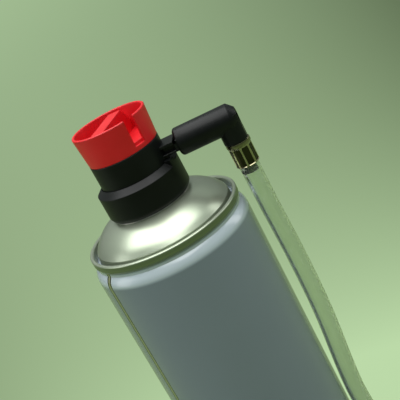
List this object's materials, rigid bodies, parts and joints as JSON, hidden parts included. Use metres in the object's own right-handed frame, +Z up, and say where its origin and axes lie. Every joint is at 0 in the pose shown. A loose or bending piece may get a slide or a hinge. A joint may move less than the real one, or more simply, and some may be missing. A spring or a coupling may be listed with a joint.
{
  "type": "tire inflator valve on an aerosol can with hose",
  "caption": "Tire inflator: lacquered aerosol can, black collar and press head, red turn cap, arm, and clear hose with brass connector.",
  "frame": {"origin": "centre of the can's foot, level with the bottom seam's standing rim", "axes": "+Z up along the can's axis to the turn cap; +X out along the arm that carries the hose; +Y completes the right-handed set"},
  "size_m": [0.0772, 0.066, 0.2015],
  "materials": {
    "lacquered_tin": "gloss",
    "tinplate": "satin",
    "spring_steel": "satin",
    "black_plastic": "satin",
    "red_plastic": "satin",
    "natural_plastic": "satin",
    "brass": "satin",
    "clear_hose": "gloss",
    "seal_rubber": "matte"
  },
  "bodies": {
    "can_body": {"can": "lacquered_tin", "mounting_cup": "tinplate", "cup_gasket": "seal_rubber", "stem_gasket": "seal_rubber", "valve_housing": "natural_plastic", "valve_spring": "spring_steel", "dip_tube": "natural_plastic", "collar": "black_plastic"},
    "head": {"head_arm": "black_plastic", "channel_plug": "black_plastic", "valve_stem": "natural_plastic", "hose_ferrule": "brass", "hose": "clear_hose", "tail_ferrule": "brass", "hose_tail": "brass", "connector_seal": "seal_rubber", "core_pin": "brass"},
    "cap": {"turn_cap": "red_plastic"},
    "nut": {"connector_nut": "brass"}
  },
  "joints": [
    {"name": "head_press", "type": "slide", "parent": "can_body", "child": "head", "axis": [0, 0, -1], "range_m": [0, 0.0018], "stiffness_N_per_m": 3000, "springref_m": -0.002, "deforming": ["valve_spring"]},
    {"name": "cap_turn", "type": "hinge", "parent": "head", "child": "cap", "pos_m": [0, 0, 0.195], "axis": [0, 0, 1], "range_deg": [0, 90]},
    {"name": "nut_spin", "type": "hinge", "parent": "head", "child": "nut", "pos_m": [0.0386, 0, 0.0154], "axis": [0, 0, 1], "continuous": true}
  ]
}
